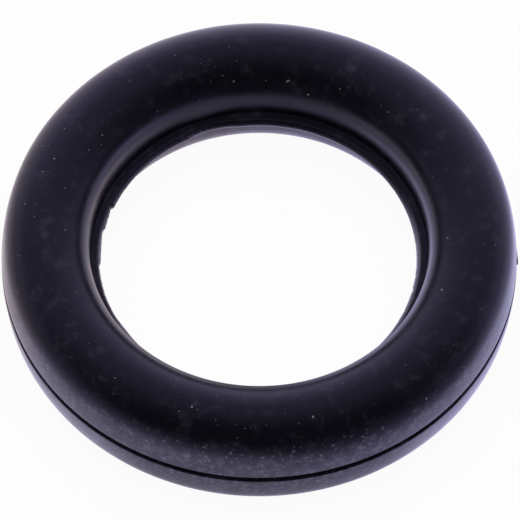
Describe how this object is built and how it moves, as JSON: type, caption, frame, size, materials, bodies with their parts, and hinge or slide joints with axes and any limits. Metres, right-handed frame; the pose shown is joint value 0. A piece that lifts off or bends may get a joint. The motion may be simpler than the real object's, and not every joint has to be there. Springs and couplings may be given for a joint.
{
  "type": "o-ring",
  "caption": "Moulded black rubber sealing ring with a tall oval section, a thin torn rib of flash round the bore and a parting groove round the outside.",
  "frame": {"origin": "on the ring's axis, in the parting plane at mid height", "axes": "+Z along the ring's axis, up as it lies flat; the stub of outside flash is on the +X side and the widest tear in the bore's flash on the -X side"},
  "size_m": [0.02, 0.02, 0.0052],
  "materials": {
    "rubber": "satin moulded rubber with a little dust"
  },
  "bodies": {
    "root": {"o_ring": "rubber"}
  },
  "joints": []
}
